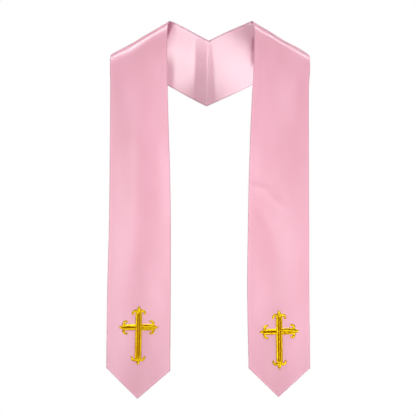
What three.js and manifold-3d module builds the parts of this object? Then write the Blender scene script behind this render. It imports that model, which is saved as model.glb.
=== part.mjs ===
// A choir stole: two lined satin bands joined at the centre back, with a gold cross above each point.
// Millimetres. +X is the viewer's right, the front faces -Y, +Z is up.
// The origin is the nape: the inside of the stole's top edge at the centre back, where it sits on the neck.

import * as THREE from 'three';
import { mergeVertices } from 'three/addons/utils/BufferGeometryUtils.js';
import Module from 'manifold-3d';

const wasm = await Module();
wasm.setup();

const BAND_WIDTH = 118;
const SHOULDER_SLOPE = THREE.MathUtils.degToRad(29.5);
const SHOULDER_HALF_GAP = 83;
const FOLD_RADIUS = 14;
const FACE_THICKNESS = 1.2;
const LINING_THICKNESS = 1.0;
const PLY_GAP = 0.3;
const LINING_INSET = 2;
const SEAM_GAP = 0.4;
const SEAM_EASE_RADIUS = 12;
const SEAM_EASE_SLOPE = 0.3;

// The cloth's side view, walked away from the top of the shoulder fold.
// Each row is an arc: its length, and the angle that it turns through.
const FRONT_LEG = [
  { length: (FOLD_RADIUS * 76 * Math.PI) / 180, turn: 76 },
  { length: 80, turn: 6 },
  { length: 170, turn: 8 },
];
const BACK_LEG = [
  { length: (FOLD_RADIUS * 43 * Math.PI) / 180, turn: 43 },
  { length: 95, turn: 17 },
  { length: 130, turn: 20 },
];
const FOLD_FRONT_END = FRONT_LEG[0].length;
const FOLD_BACK_END = BACK_LEG[0].length;
const EDGE_EASE_LENGTH = 50;
const SHOULDER_TRIM_LENGTH = 90;

// The hanging edges of each band: distance from the centre line at a depth below the shoulder point.
const BANDS = {
  left: {
    side: -1,
    seamTopShift: -4,
    seamBottomShift: -9,
    shoulderTrim: 2,
    hem: { inner: 702.7, tip: 759, outer: 696.7, tipAcross: 60.6 },
    edges: [
      { depth: 80, inner: 88.1, outer: 202.3 },
      { depth: 180, inner: 85.7, outer: 202.2 },
      { depth: 300, inner: 81.9, outer: 202.9 },
      { depth: 420, inner: 80.2, outer: 204.4 },
      { depth: 545, inner: 80.6, outer: 207.8 },
      { depth: 698, inner: 81.5, outer: 209.9 },
    ],
    // Soft ridges and dents: place, reach down and across the band, lean across per unit down, and height.
    folds: [
      { depth: 200, across: 80, down: 110, wide: 30, lean: -0.1, height: 3.2 },
      { depth: 420, across: 70, down: 130, wide: 34, lean: 0.1, height: 2.6 },
      { depth: 330, across: 22, down: 150, wide: 20, lean: 0, height: -2.2 },
      { depth: 690, across: 22, down: 60, wide: 20, lean: -0.25, height: -2.4 },
      { depth: 540, across: 100, down: 70, wide: 22, lean: 0.15, height: 1.8 },
    ],
    cross: { centreX: -145.0, centreDepth: 615.4, lean: 0.02, armRise: 0.005 },
  },
  right: {
    side: 1,
    seamTopShift: -4,
    seamBottomShift: -9,
    shoulderTrim: 5.2,
    hem: { inner: 697.5, tip: 755.5, outer: 697.5, tipAcross: 57.4 },
    edges: [
      { depth: 80, inner: 86.6, outer: 198.2 },
      { depth: 180, inner: 80.8, outer: 196.8 },
      { depth: 300, inner: 76.4, outer: 196.6 },
      { depth: 420, inner: 74.0, outer: 196.8 },
      { depth: 545, inner: 72.6, outer: 197.2 },
      { depth: 698, inner: 75.4, outer: 198.8 },
    ],
    folds: [
      { depth: 180, across: 74, down: 120, wide: 30, lean: 0.08, height: 3.0 },
      { depth: 370, across: 26, down: 80, wide: 20, lean: 0.2, height: -2.6 },
      { depth: 470, across: 84, down: 130, wide: 28, lean: -0.08, height: 2.6 },
      { depth: 650, across: 28, down: 80, wide: 22, lean: 0.1, height: -1.8 },
    ],
    cross: { centreX: 136.9, centreDepth: 623.8, lean: -0.01, armRise: 0.035 },
  },
};

// How far along the band from the shoulder point the seam and the lower ends are looked for.
const SEAM_SEARCH = { from: -260, to: 0 };
const HEM_SEARCH = { from: 200, to: 900 };

// Rows of cells from the centre-back seam over the shoulder fold to the hem, and columns across the band.
const BACK_ROWS = 9;
const FOLD_ROWS = 7;
const FRONT_ROWS = 31;
const COLUMNS = 10;

// The embroidered cross: reaches are from the crossing to the tips, and heights are above the face.
const CROSS = {
  lift: 0.4,
  topReach: 43.1,
  bottomReach: 75.7,
  sideReach: 39.9,
  armWidth: 11.5,
  edgeHeight: 0.5,
  ridgeHeight: 1.9,
  grooveHeight: 0.9,
  ridgeShare: 0.55,
  armStep: 12,
  tipLength: 9,
};

// The leaf at the end of each arm, as half an outline back from the tip, and its rounded relief.
const LEAF_OUTLINE = [
  { back: 0, half: 0.8 },
  { back: 3.5, half: 2.9 },
  { back: 7.5, half: 4.5 },
  { back: 13, half: 3.2 },
];
const LEAF_RELIEF = [
  { height: 0, share: 1 },
  { height: 0.6, share: 1 },
  { height: 1.5, share: 0.7 },
  { height: 1.9, share: 0.25 },
];

// The curled hook beside each leaf: the cubic that its middle line follows, side and back from the tip,
// and its half width from root to point.
const HOOK_PATH = [
  { sideways: 1.5, back: 15 },
  { sideways: 4.5, back: 8 },
  { sideways: 13.5, back: 8.2 },
  { sideways: 12.2, back: 18 },
];
const HOOK_HALF_WIDTH = { root: 2.4, point: 0.7 };
const HOOK_RIDGE = { root: 1.7, point: 0.9 };
const HOOK_STEPS = 8;

const COLOURS = {
  satinFace: new THREE.Color(0.87, 0.47, 0.57),
  satinLining: new THREE.Color(0.93, 0.6, 0.68),
  goldThread: new THREE.Color(0.66, 0.4, 0.03),
};

const lerp = THREE.MathUtils.lerp;
const smoothstep = THREE.MathUtils.smoothstep;

// A value from a table of rows, eased through the rows by a cubic.
function readTable(rows, depth, key) {
  const last = rows.length - 1;
  if (depth <= rows[0].depth) {
    return rows[0][key];
  }
  if (depth >= rows[last].depth) {
    return rows[last][key];
  }
  const slopeAt = (i) => {
    const before = rows[Math.max(i - 1, 0)];
    const after = rows[Math.min(i + 1, last)];
    return (after[key] - before[key]) / (after.depth - before.depth);
  };
  const index = rows.findIndex((row, i) => depth < rows[i + 1].depth);
  const start = rows[index];
  const end = rows[index + 1];
  const span = end.depth - start.depth;
  const t = (depth - start.depth) / span;
  const startPart = (1 + 2 * t) * (1 - t) ** 2 * start[key] + t * (1 - t) ** 2 * span * slopeAt(index);
  const endPart = t * t * (3 - 2 * t) * end[key] + t * t * (t - 1) * span * slopeAt(index + 1);
  return startPart + endPart;
}

// How far down and how far out from the fold's top a leg of the side view has come.
function walkLeg(leg, distance) {
  let angle = 0;
  let left = distance;
  let down = 0;
  let out = 0;
  for (const arc of leg) {
    const length = Math.min(left, arc.length);
    const radius = arc.length / THREE.MathUtils.degToRad(arc.turn);
    const next = angle + length / radius;
    down += radius * (Math.cos(angle) - Math.cos(next));
    out += radius * (Math.sin(next) - Math.sin(angle));
    angle = next;
    left -= length;
  }
  return { down: down + left * Math.sin(angle), out: out + left * Math.cos(angle) };
}

// The height of the soft folds over the plain sheet.
function foldHeight(band, across, depth) {
  let height = 0;
  for (const fold of band.folds) {
    const down = (depth - fold.depth) / fold.down;
    const centre = fold.across + fold.lean * (depth - fold.depth);
    const wide = (across - centre) / fold.wide;
    height += fold.height * Math.exp(-down * down - wide * wide);
  }
  return height;
}

// A point of the bare sheet: along is the length down the front from the shoulder point, across is the
// distance from the inner edge. The shoulder fold crosses the band at the shoulder's slope.
function sheetPoint(band, along, across) {
  const cos = Math.cos(SHOULDER_SLOPE);
  const sin = Math.sin(SHOULDER_SLOPE);
  const onFold = along * sin + across * cos;
  const overFold = along * cos - across * sin;
  const front = overFold > 0;
  const leg = walkLeg(front ? FRONT_LEG : BACK_LEG, Math.abs(overFold));
  const point = new THREE.Vector3(
    band.side * (SHOULDER_HALF_GAP + onFold * cos - leg.down * sin),
    front ? -leg.out : leg.out,
    -onFold * sin - leg.down * cos,
  );
  const towardsSeam = smoothstep(-overFold, FOLD_BACK_END, FOLD_BACK_END + SHOULDER_TRIM_LENGTH);
  point.x -= band.side * band.shoulderTrim * (across / BAND_WIDTH) * (1 - towardsSeam);
  if (front) {
    const depth = -point.z;
    const inner = readTable(band.edges, depth, 'inner');
    const outer = readTable(band.edges, depth, 'outer');
    const hanging = band.side * lerp(inner, outer, across / BAND_WIDTH);
    const ease = smoothstep(overFold, FOLD_FRONT_END, FOLD_FRONT_END + EDGE_EASE_LENGTH);
    point.x = lerp(point.x, hanging, ease);
    point.y -= ease * foldHeight(band, across, depth);
  } else {
    const fromCentre = Math.abs(point.x);
    const eased = Math.sqrt(fromCentre ** 2 + SEAM_EASE_RADIUS ** 2) - fromCentre;
    const nearSeam = 1 - smoothstep(fromCentre, 3 * SEAM_EASE_RADIUS, 6 * SEAM_EASE_RADIUS);
    point.y -= SEAM_EASE_SLOPE * eased * nearSeam;
  }
  return point;
}

// The same point lifted off the sheet along its outward normal.
function liftedPoint(band, along, across, lift) {
  const step = 0.5;
  const point = sheetPoint(band, along, across);
  const alongStep = sheetPoint(band, along + step, across).sub(sheetPoint(band, along - step, across));
  const acrossStep = sheetPoint(band, along, across + step).sub(sheetPoint(band, along, across - step));
  const normal = alongStep.cross(acrossStep).normalize();
  return point.addScaledVector(normal, band.side * lift);
}

// The value between low and high at which a rising measure reaches the target.
function solve(measure, target, low, high) {
  let from = low;
  let to = high;
  for (let i = 0; i < 40; i += 1) {
    const middle = (from + to) / 2;
    if (measure(middle) < target) {
      from = middle;
    } else {
      to = middle;
    }
  }
  return (from + to) / 2;
}

// The centre-back seam leans to one side: its shift grows from the top edge to the bottom edge, and
// fades towards the shoulder fold.
function shiftSeam(band, point, along, across, seamAlong) {
  const foldAlong = across * Math.tan(SHOULDER_SLOPE);
  const share = smoothstep((foldAlong - along) / (foldAlong - seamAlong), 0, 1);
  point.x += share * lerp(band.seamTopShift, band.seamBottomShift, across / BAND_WIDTH);
  return point;
}

// The pointed end: two straight hems that meet at the tip.
function hemDepth(hem, across) {
  if (across < hem.tipAcross) {
    return lerp(hem.inner, hem.tip, across / hem.tipAcross);
  }
  return lerp(hem.tip, hem.outer, (across - hem.tipAcross) / (BAND_WIDTH - hem.tipAcross));
}

// Columns are spread from each edge to the tip, so that one column runs down to the point.
function columnAcross(hem, inset, column) {
  const half = COLUMNS / 2;
  if (column < half) {
    return lerp(inset, hem.tipAcross, column / half);
  }
  return lerp(hem.tipAcross, BAND_WIDTH - inset, (column - half) / half);
}

// One surface of a ply, as rows of points from the seam to the hem.
function surfaceRows(band, inset, lift) {
  const columns = [];
  const cos = Math.cos(SHOULDER_SLOPE);
  for (let c = 0; c <= COLUMNS; c += 1) {
    const across = columnAcross(band.hem, inset, c);
    const rise = across * Math.tan(SHOULDER_SLOPE);
    const fromCentre = (along) => liftedPoint(band, along, across, lift).x * band.side;
    const depth = (along) => -liftedPoint(band, along, across, lift).z;
    const seam = solve(fromCentre, SEAM_GAP / 2, SEAM_SEARCH.from, SEAM_SEARCH.to);
    const hem = solve(depth, hemDepth(band.hem, across) - inset, HEM_SEARCH.from, HEM_SEARCH.to);
    const stations = [
      { along: seam, rows: BACK_ROWS },
      { along: rise - FOLD_BACK_END / cos, rows: FOLD_ROWS },
      { along: rise + FOLD_FRONT_END / cos, rows: FRONT_ROWS },
      { along: hem, rows: 0 },
    ];
    const column = [];
    for (let s = 0; s < 3; s += 1) {
      for (let r = 0; r < stations[s].rows; r += 1) {
        const along = lerp(stations[s].along, stations[s + 1].along, r / stations[s].rows);
        column.push(shiftSeam(band, liftedPoint(band, along, across, lift), along, across, seam));
      }
    }
    column.push(liftedPoint(band, hem, across, lift));
    columns.push(column);
  }
  return columns;
}

// A closed sheet between an inner and an outer surface, with walls round its four edges.
function closedSheet(band, inset, lowLift, highLift) {
  const low = surfaceRows(band, inset, lowLift);
  const high = surfaceRows(band, inset, highLift);
  const rows = low[0].length;
  const count = low.length * rows;
  const positions = [];
  for (const point of [...low.flat(), ...high.flat()]) {
    point.sub(NAPE);
    positions.push(point.x, point.y, point.z);
  }
  const index = [];
  const quad = (a, b, c, d) => {
    if (band.side > 0) {
      index.push(a, b, c, a, c, d);
    } else {
      index.push(a, c, b, a, d, c);
    }
  };
  const at = (c, r) => c * rows + r;
  for (let c = 0; c < COLUMNS; c += 1) {
    for (let r = 0; r < rows - 1; r += 1) {
      quad(at(c, r), at(c + 1, r), at(c + 1, r + 1), at(c, r + 1));
      quad(count + at(c, r), count + at(c, r + 1), count + at(c + 1, r + 1), count + at(c + 1, r));
    }
    quad(at(c, 0), count + at(c, 0), count + at(c + 1, 0), at(c + 1, 0));
    quad(at(c, rows - 1), at(c + 1, rows - 1), count + at(c + 1, rows - 1), count + at(c, rows - 1));
  }
  for (let r = 0; r < rows - 1; r += 1) {
    quad(at(0, r), at(0, r + 1), count + at(0, r + 1), count + at(0, r));
    quad(at(COLUMNS, r), count + at(COLUMNS, r), count + at(COLUMNS, r + 1), at(COLUMNS, r + 1));
  }
  const geometry = new THREE.BufferGeometry();
  geometry.setAttribute('position', new THREE.Float32BufferAttribute(positions, 3));
  geometry.setIndex(index);
  return geometry;
}

// A point on a hanging band, placed by its x and its depth.
function pointOnBand(band, x, depth, lift) {
  const inner = readTable(band.edges, depth, 'inner');
  const outer = readTable(band.edges, depth, 'outer');
  const across = ((x * band.side - inner) / (outer - inner)) * BAND_WIDTH;
  const along = solve((value) => -sheetPoint(band, value, across).z, depth, HEM_SEARCH.from, HEM_SEARCH.to);
  return liftedPoint(band, along, across, lift);
}

function toSolid(geometry) {
  geometry.deleteAttribute('normal');
  geometry.deleteAttribute('uv');
  const merged = mergeVertices(geometry, 1e-4);
  const mesh = new wasm.Mesh({
    numProp: 3,
    vertProperties: new Float32Array(merged.attributes.position.array),
    triVerts: new Uint32Array(merged.index.array),
  });
  return new wasm.Manifold(mesh);
}

// A closed skin over rings of points, each ring running anticlockwise round the way from first to last.
function closedRings(rings) {
  const size = rings[0].length;
  const positions = rings.flat().flatMap((point) => [point.x, point.y, point.z]);
  const index = [];
  for (let i = 0; i < rings.length - 1; i += 1) {
    for (let j = 0; j < size; j += 1) {
      const next = (j + 1) % size;
      const a = i * size + j;
      const b = i * size + next;
      index.push(a, b, b + size, a, b + size, a + size);
    }
  }
  const end = (rings.length - 1) * size;
  for (let j = 1; j < size - 1; j += 1) {
    index.push(0, j + 1, j, end, end + j, end + j + 1);
  }
  const geometry = new THREE.BufferGeometry();
  geometry.setAttribute('position', new THREE.Float32BufferAttribute(positions, 3));
  geometry.setIndex(index);
  return geometry;
}

// An arm of the cross, up the page: two columns of stitching side by side with a groove between them.
function crossArm(bottom, top) {
  const half = CROSS.armWidth / 2;
  const ridge = half * CROSS.ridgeShare;
  const section = new THREE.Shape([
    new THREE.Vector2(-half, 0),
    new THREE.Vector2(half, 0),
    new THREE.Vector2(half, CROSS.edgeHeight),
    new THREE.Vector2(ridge, CROSS.ridgeHeight),
    new THREE.Vector2(0, CROSS.grooveHeight),
    new THREE.Vector2(-ridge, CROSS.ridgeHeight),
    new THREE.Vector2(-half, CROSS.edgeHeight),
  ]);
  const length = top - bottom;
  const steps = Math.ceil(length / CROSS.armStep);
  const arm = new THREE.ExtrudeGeometry(section, { depth: length, steps, bevelEnabled: false });
  arm.rotateX(Math.PI / 2);
  arm.translate(0, top, 0);
  return arm;
}

// The leaf at the end of an arm that points up the page, with its tip at the reach.
function crossLeaf(reach) {
  const left = LEAF_OUTLINE.map((row) => new THREE.Vector2(-row.half, reach - row.back));
  const right = LEAF_OUTLINE.map((row) => new THREE.Vector2(row.half, reach - row.back)).reverse();
  const outline = [...left, ...right];
  const middle = reach - LEAF_OUTLINE[2].back;
  const rings = LEAF_RELIEF.map(({ height, share }) =>
    outline.map((p) => new THREE.Vector3(p.x * share, middle + (p.y - middle) * share, height)),
  );
  return closedRings(rings);
}

// The hook on one side of that leaf, as a tapering ridge that curls back along the arm.
function crossHook(reach, side) {
  const ends = HOOK_PATH.map((row) => new THREE.Vector2(side * row.sideways, reach - row.back));
  const path = new THREE.CubicBezierCurve(...ends);
  const rings = [];
  for (let i = 0; i <= HOOK_STEPS; i += 1) {
    const t = i / HOOK_STEPS;
    const middle = path.getPoint(t);
    const ahead = path.getTangent(t);
    const half = lerp(HOOK_HALF_WIDTH.root, HOOK_HALF_WIDTH.point, t * t);
    const ridge = lerp(HOOK_RIDGE.root, HOOK_RIDGE.point, t * t);
    const section = [
      { out: -half, up: 0 },
      { out: half, up: 0 },
      { out: half * 0.85, up: CROSS.edgeHeight },
      { out: 0, up: ridge },
      { out: -half * 0.85, up: CROSS.edgeHeight },
    ];
    rings.push(section.map(({ out, up }) =>
      new THREE.Vector3(middle.x - ahead.y * out, middle.y + ahead.x * out, up)));
  }
  return closedRings(rings);
}

// The whole cross, flat on the page, then laid onto its band.
function crossGeometry(band) {
  const arms = [
    { turn: 0, reach: CROSS.topReach },
    { turn: Math.PI / 2, reach: CROSS.sideReach },
    { turn: Math.PI, reach: CROSS.bottomReach },
    { turn: -Math.PI / 2, reach: CROSS.sideReach },
  ];
  const sideBar = CROSS.sideReach - CROSS.tipLength;
  const parts = [
    crossArm(CROSS.tipLength - CROSS.bottomReach, CROSS.topReach - CROSS.tipLength),
    crossArm(-sideBar, sideBar).rotateZ(Math.PI / 2),
  ];
  for (const { turn, reach } of arms) {
    const pieces = [crossLeaf(reach), crossHook(reach, -1), crossHook(reach, 1)];
    parts.push(...pieces.map((piece) => piece.rotateZ(turn)));
  }
  const solid = parts.map(toSolid).reduce((whole, piece) => whole.add(piece));
  const { vertProperties, triVerts, numProp } = solid.getMesh();
  const positions = [];
  for (let i = 0; i < vertProperties.length; i += numProp) {
    const [x, y, height] = vertProperties.subarray(i, i + 3);
    const bandX = band.cross.centreX + x + band.cross.lean * y;
    const depth = band.cross.centreDepth - y - band.cross.armRise * x;
    const point = pointOnBand(band, bandX, depth, FACE_THICKNESS + CROSS.lift + height).sub(NAPE);
    positions.push(point.x, point.y, point.z);
  }
  const geometry = new THREE.BufferGeometry();
  geometry.setAttribute('position', new THREE.Float32BufferAttribute(positions, 3));
  geometry.setIndex([...triVerts]);
  return geometry;
}

// The inside of the lining's top edge at the centre back.
function napePoint() {
  const innerLift = -PLY_GAP - LINING_THICKNESS;
  const band = BANDS.right;
  const fromCentre = (value) => liftedPoint(band, value, LINING_INSET, innerLift).x;
  const along = solve(fromCentre, 0, SEAM_SEARCH.from, SEAM_SEARCH.to);
  return liftedPoint(band, along, LINING_INSET, innerLift).setX(0);
}

const NAPE = napePoint();

function addMesh(group, name, geometry, colour, roughness, metalness) {
  const material = new THREE.MeshStandardMaterial({ color: colour, roughness, metalness });
  geometry.computeVertexNormals();
  const mesh = new THREE.Mesh(geometry, material);
  mesh.name = name;
  group.add(mesh);
}

const stole = new THREE.Group();
for (const [name, band] of Object.entries(BANDS)) {
  const face = closedSheet(band, 0, 0, FACE_THICKNESS);
  const lining = closedSheet(band, LINING_INSET, -PLY_GAP - LINING_THICKNESS, -PLY_GAP);
  addMesh(stole, `${name}_face`, face, COLOURS.satinFace, 0.4, 0);
  addMesh(stole, `${name}_lining`, lining, COLOURS.satinLining, 0.4, 0);
  addMesh(stole, `${name}_cross`, crossGeometry(band), COLOURS.goldThread, 0.35, 0.3);
}

export default stole;
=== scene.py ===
import math

import bmesh
import bpy
import numpy as np
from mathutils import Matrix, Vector


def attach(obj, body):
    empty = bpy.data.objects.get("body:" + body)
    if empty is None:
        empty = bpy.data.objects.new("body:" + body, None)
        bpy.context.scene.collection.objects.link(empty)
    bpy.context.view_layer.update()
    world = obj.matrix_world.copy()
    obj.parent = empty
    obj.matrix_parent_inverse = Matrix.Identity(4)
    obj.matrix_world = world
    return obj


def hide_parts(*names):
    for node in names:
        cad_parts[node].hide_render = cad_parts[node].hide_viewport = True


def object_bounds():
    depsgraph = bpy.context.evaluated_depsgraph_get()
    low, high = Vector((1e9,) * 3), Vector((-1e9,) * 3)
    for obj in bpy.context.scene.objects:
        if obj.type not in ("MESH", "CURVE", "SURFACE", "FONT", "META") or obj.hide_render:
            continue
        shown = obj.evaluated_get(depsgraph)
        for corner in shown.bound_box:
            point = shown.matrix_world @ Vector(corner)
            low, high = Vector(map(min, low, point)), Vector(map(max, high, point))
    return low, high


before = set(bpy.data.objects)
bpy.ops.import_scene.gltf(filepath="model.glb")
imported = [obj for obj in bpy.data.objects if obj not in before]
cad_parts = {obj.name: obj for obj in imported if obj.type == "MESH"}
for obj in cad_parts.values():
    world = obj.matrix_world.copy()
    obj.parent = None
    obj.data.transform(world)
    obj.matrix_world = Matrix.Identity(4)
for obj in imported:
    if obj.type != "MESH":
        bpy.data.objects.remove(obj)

cad_box = [list(corner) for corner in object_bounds()]

# The two satin faces, left and right as the viewer sees them. Each is one long band of stiffened polyester
# satin, cut on a slant at the centre back and to a point at the lower end, with its edges turned in and
# pressed. It goes over the shoulder on a slanting fold and hangs plumb, and the halves are sewn at the back.
BAND_WIDTH = 0.118
SHOULDER_SLOPE = math.radians(29.5)
SHOULDER_HALF_GAP = 0.083
FOLD_RADIUS = 0.014
SEAM_FLAT = {
    "left": {"width": (0.032, 0.022), "slope": (0.24, 0.20)},
    "right": {"width": (0.0052, 0.0163), "slope": (0.30, 0.26)},
}
SEAM_FLAT_EASE = 0.0022
SEAM_OVERRUN = 0.01
SEAM_FADE = 0.085
PLY_GAP = 0.0003
FACE_THICKNESS = 0.0012
LINING_THICKNESS = 0.001

# The cloth's side view, walked away from the top of the fold: the length of each arc and its turn in degrees.
FRONT_LEG = [(FOLD_RADIUS * math.radians(68), 68), (0.020, 10), (0.062, 4), (0.170, 8)]
BACK_LEG = [(FOLD_RADIUS * math.radians(43), 43), (0.095, 17), (0.130, 20)]
FOLD_FRONT_END = FRONT_LEG[0][0]
FOLD_BACK_END = BACK_LEG[0][0]
EDGE_EASE_LENGTH = 0.050
SHOULDER_TRIM_LENGTH = 0.090
BACK_DROP_REACH = 0.2
NORMAL_STEP = 0.0005

# The lengths along a band between which its hem and its crosses lie, and its seam at the centre back.
FRONT_SEARCH = (0.2, 0.9)
BACK_SEARCH = (-0.26, 0)
SEARCH_ROUNDS = 36

BANDS = {
    "left": {
        "side": -1,
        "seam_shift": (-0.004, -0.009),
        "back_drop": 0.005,
        "dents": [
            {"x": 0.089, "z": -0.010, "wide": 0.010, "tall": 0.040, "out": -0.004},
            {"x": 0.089, "z": -0.075, "wide": 0.008, "tall": 0.030, "out": -0.002},
        ],
        "shoulder_trim": 0.002,
        "hem": {"inner": 0.7027, "tip": 0.759, "outer": 0.6967, "tip_across": 0.0606},
        "depth": (0.080, 0.180, 0.300, 0.420, 0.545, 0.698),
        "inner": (0.0881, 0.0857, 0.0819, 0.0802, 0.0806, 0.0815),
        "outer": (0.2023, 0.2022, 0.2029, 0.2044, 0.2078, 0.2099),
        "folds": [
            {"depth": 0.200, "across": 0.080, "down": 0.110, "wide": 0.030, "lean": -0.1, "height": 0.0032},
            {"depth": 0.420, "across": 0.070, "down": 0.130, "wide": 0.034, "lean": 0.1, "height": 0.0026},
            {"depth": 0.330, "across": 0.022, "down": 0.150, "wide": 0.020, "lean": 0, "height": -0.0022},
            {"depth": 0.690, "across": 0.022, "down": 0.060, "wide": 0.020, "lean": -0.25, "height": -0.0024},
            {"depth": 0.540, "across": 0.100, "down": 0.070, "wide": 0.022, "lean": 0.15, "height": 0.0018},
        ],
        "cross": {"x": -0.1450, "depth": 0.6154, "lean": 0.02, "arm_rise": 0.005},
    },
    "right": {
        "side": 1,
        "seam_shift": (-0.004, -0.009),
        "back_drop": 0.0088,
        "dents": [
            {"x": 0.088, "z": -0.004, "wide": 0.030, "tall": 0.022, "out": -0.005},
        ],
        "shoulder_trim": 0.0052,
        "hem": {"inner": 0.6975, "tip": 0.7555, "outer": 0.6975, "tip_across": 0.0574},
        "depth": (0.080, 0.180, 0.300, 0.420, 0.545, 0.698),
        "inner": (0.0866, 0.0808, 0.0764, 0.0740, 0.0726, 0.0754),
        "outer": (0.1982, 0.1968, 0.1966, 0.1968, 0.1972, 0.1988),
        "folds": [
            {"depth": 0.180, "across": 0.074, "down": 0.120, "wide": 0.030, "lean": 0.08, "height": 0.0030},
            {"depth": 0.370, "across": 0.026, "down": 0.080, "wide": 0.020, "lean": 0.2, "height": -0.0026},
            {"depth": 0.470, "across": 0.084, "down": 0.130, "wide": 0.028, "lean": -0.08, "height": 0.0026},
            {"depth": 0.650, "across": 0.028, "down": 0.080, "wide": 0.022, "lean": 0.1, "height": -0.0018},
        ],
        "cross": {"x": 0.1369, "depth": 0.6238, "lean": -0.01, "arm_rise": 0.035},
    },
}


def smoothstep(value, low, high):
    share = np.clip((value - low) / (high - low), 0, 1)
    return share * share * (3 - 2 * share)


def read_edge(band, key, depth):
    """The distance of one edge of a hanging band from the centre line, eased through its rows."""
    depths, values = np.array(band["depth"]), np.array(band[key])
    depth = np.clip(depth, depths[0], depths[-1])
    before = np.clip(np.arange(len(depths)) - 1, 0, None)
    after = np.clip(np.arange(len(depths)) + 1, None, len(depths) - 1)
    slopes = (values[after] - values[before]) / (depths[after] - depths[before])
    row = np.clip(np.searchsorted(depths, depth, side="right") - 1, 0, len(depths) - 2)
    span = depths[row + 1] - depths[row]
    t = (depth - depths[row]) / span
    start = (1 + 2 * t) * (1 - t) ** 2 * values[row] + t * (1 - t) ** 2 * span * slopes[row]
    return start + t * t * (3 - 2 * t) * values[row + 1] + t * t * (t - 1) * span * slopes[row + 1]


def walk_leg(leg, distance):
    """How far down and how far out from the fold's top a leg of the side view has come."""
    angle, down, out = np.zeros((3, *distance.shape))
    left = distance
    for length, turn in leg:
        step = np.clip(left, 0, length)
        radius = length / math.radians(turn)
        ahead = angle + step / radius
        down = down + radius * (np.cos(angle) - np.cos(ahead))
        out = out + radius * (np.sin(ahead) - np.sin(angle))
        angle = ahead
        left = left - step
    return down + left * np.sin(angle), out + left * np.cos(angle)


def slack(band, across, depth):
    """The soft folds of a hanging band, over the plain sheet."""
    height = np.zeros_like(depth)
    for fold in band["folds"]:
        below = depth - fold["depth"]
        wide = (across - fold["across"] - fold["lean"] * below) / fold["wide"]
        height += fold["height"] * np.exp(-((below / fold["down"]) ** 2) - wide**2)
    return height


def seam_flat(band, x, across):
    """How far the back stands forward beside the seam, where the two halves meet in a narrow flat strip."""
    share = across / BAND_WIDTH

    def strip(key):
        width, slope = (ends[0] + (ends[1] - ends[0]) * share for ends in SEAM_FLAT[key].values())
        inside = width - np.maximum(x, -SEAM_OVERRUN)
        return slope * width, slope * (inside + np.sqrt(inside**2 + SEAM_FLAT_EASE**2)) / 2

    left_at_seam, left = strip("left")
    if band["side"] < 0:
        return left
    right_at_seam, right = strip("right")
    return right + (left_at_seam - right_at_seam) * (1 - smoothstep(x, 0, SEAM_FADE))


def sheet_point(band, along, across):
    """The bare sheet: along is the length down the front from the shoulder point, across the distance from
    the inner edge."""
    cos, sin = math.cos(SHOULDER_SLOPE), math.sin(SHOULDER_SLOPE)
    on_fold = along * sin + across * cos
    over_fold = along * cos - across * sin
    front = over_fold > 0
    front_leg = walk_leg(FRONT_LEG, np.maximum(over_fold, 0))
    back_leg = walk_leg(BACK_LEG, np.maximum(-over_fold, 0))
    down = np.where(front, front_leg[0], back_leg[0])
    x = SHOULDER_HALF_GAP + on_fold * cos - down * sin
    y = np.where(front, -front_leg[1], back_leg[1])
    z = -on_fold * sin - down * cos
    to_seam = smoothstep(-over_fold, FOLD_BACK_END, FOLD_BACK_END + SHOULDER_TRIM_LENGTH)
    x = x - band["shoulder_trim"] * across / BAND_WIDTH * (1 - to_seam)
    inner, outer = read_edge(band, "inner", -z), read_edge(band, "outer", -z)
    hanging = inner + (outer - inner) * across / BAND_WIDTH
    ease = smoothstep(over_fold, FOLD_FRONT_END, FOLD_FRONT_END + EDGE_EASE_LENGTH)
    y = y - ease * slack(band, across, -z)
    y = y - seam_flat(band, x, across) * (1 - front)
    back = smoothstep(-over_fold, 0, FOLD_BACK_END)
    for dent in band["dents"]:
        off = ((x - dent["x"]) / dent["wide"]) ** 2 + ((z - dent["z"]) / dent["tall"]) ** 2
        y = y + back * dent["out"] * np.exp(-off)
    drop = band["back_drop"] * across / BAND_WIDTH
    z = z - back * drop * np.sin(np.clip(x / BACK_DROP_REACH, 0, 1) * math.pi)
    return np.stack([band["side"] * (x + (hanging - x) * ease), y, z], axis=-1)


def lifted_point(band, along, across, lift):
    """The same point, lifted off the sheet along its outward normal."""
    step = NORMAL_STEP
    down = sheet_point(band, along + step, across) - sheet_point(band, along - step, across)
    over = sheet_point(band, along, across + step) - sheet_point(band, along, across - step)
    normal = np.cross(down, over) * band["side"]
    normal /= np.linalg.norm(normal, axis=-1, keepdims=True)
    return sheet_point(band, along, across) + normal * np.asarray(lift)[..., None]


def solve(measure, target, low, high):
    """The values between low and high at which a rising measure reaches the target."""
    low = np.full(np.shape(target), float(low))
    high = np.full(np.shape(target), float(high))
    for _ in range(SEARCH_ROUNDS):
        middle = (low + high) / 2
        short = measure(middle) < target
        low, high = np.where(short, middle, low), np.where(short, high, middle)
    return (low + high) / 2


def hem_along(band, across, inset):
    """The lengths along the band at which it ends in its point."""
    hem = band["hem"]
    depth = np.interp(across, [0, hem["tip_across"], BAND_WIDTH], [hem["inner"], hem["tip"], hem["outer"]])
    return solve(lambda v: -sheet_point(band, v, across)[..., 2], depth - inset, *FRONT_SEARCH)


def shift_seam(band, points, along, across, seam):
    """The centre-back seam leans to one side, and the lean fades towards the shoulder fold."""
    fold = across * math.tan(SHOULDER_SLOPE)
    share = smoothstep((fold - along) / (fold - seam), 0, 1)
    top, bottom = band["seam_shift"]
    points[..., 0] += share * (top + (bottom - top) * across / BAND_WIDTH)
    return points


# The nape, where the frame's origin lies: the inside of the lining's top edge at the centre back.
NAPE = np.array([0, 0.060771, -0.037303])

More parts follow.
